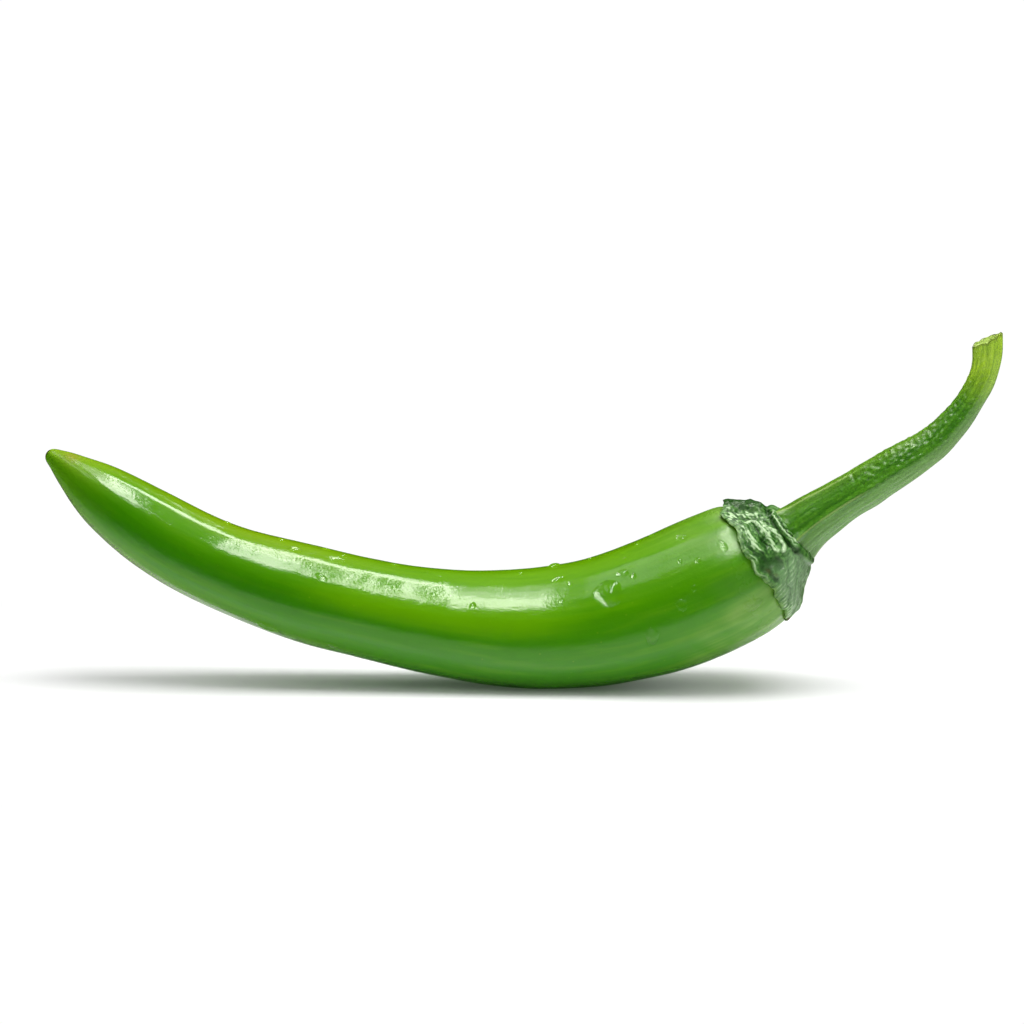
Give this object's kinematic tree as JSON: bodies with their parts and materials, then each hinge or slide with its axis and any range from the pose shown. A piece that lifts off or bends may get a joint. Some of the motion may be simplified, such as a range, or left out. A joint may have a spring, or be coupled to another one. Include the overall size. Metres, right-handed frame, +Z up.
{
  "type": "green chilli pepper",
  "caption": "Long curved fresh green chilli pepper with a rounded tapering tip, a ribbed calyx cap and a bent stem cut at its end; lies on its belly.",
  "frame": {"origin": "on the small flat resting patch under the belly, at the level of the surface it lies on", "axes": "+Z up; +X along the pepper from the blossom tip towards the stem; -Y is the side the viewer faces"},
  "size_m": [0.1424, 0.0212, 0.0539],
  "materials": {
    "pod_skin": "waxy glossy vivid green skin, slightly yellower on top and darker low on the sides",
    "calyx_green": "fibrous ribbed darker green with pale mint streaks, brown at the points",
    "stem_green": "ridged green stem with fine bumpy gloss, yellow-green at the cut end"
  },
  "bodies": {
    "root": {"pod": "pod_skin", "calyx": "calyx_green", "stem": "stem_green"}
  },
  "joints": []
}
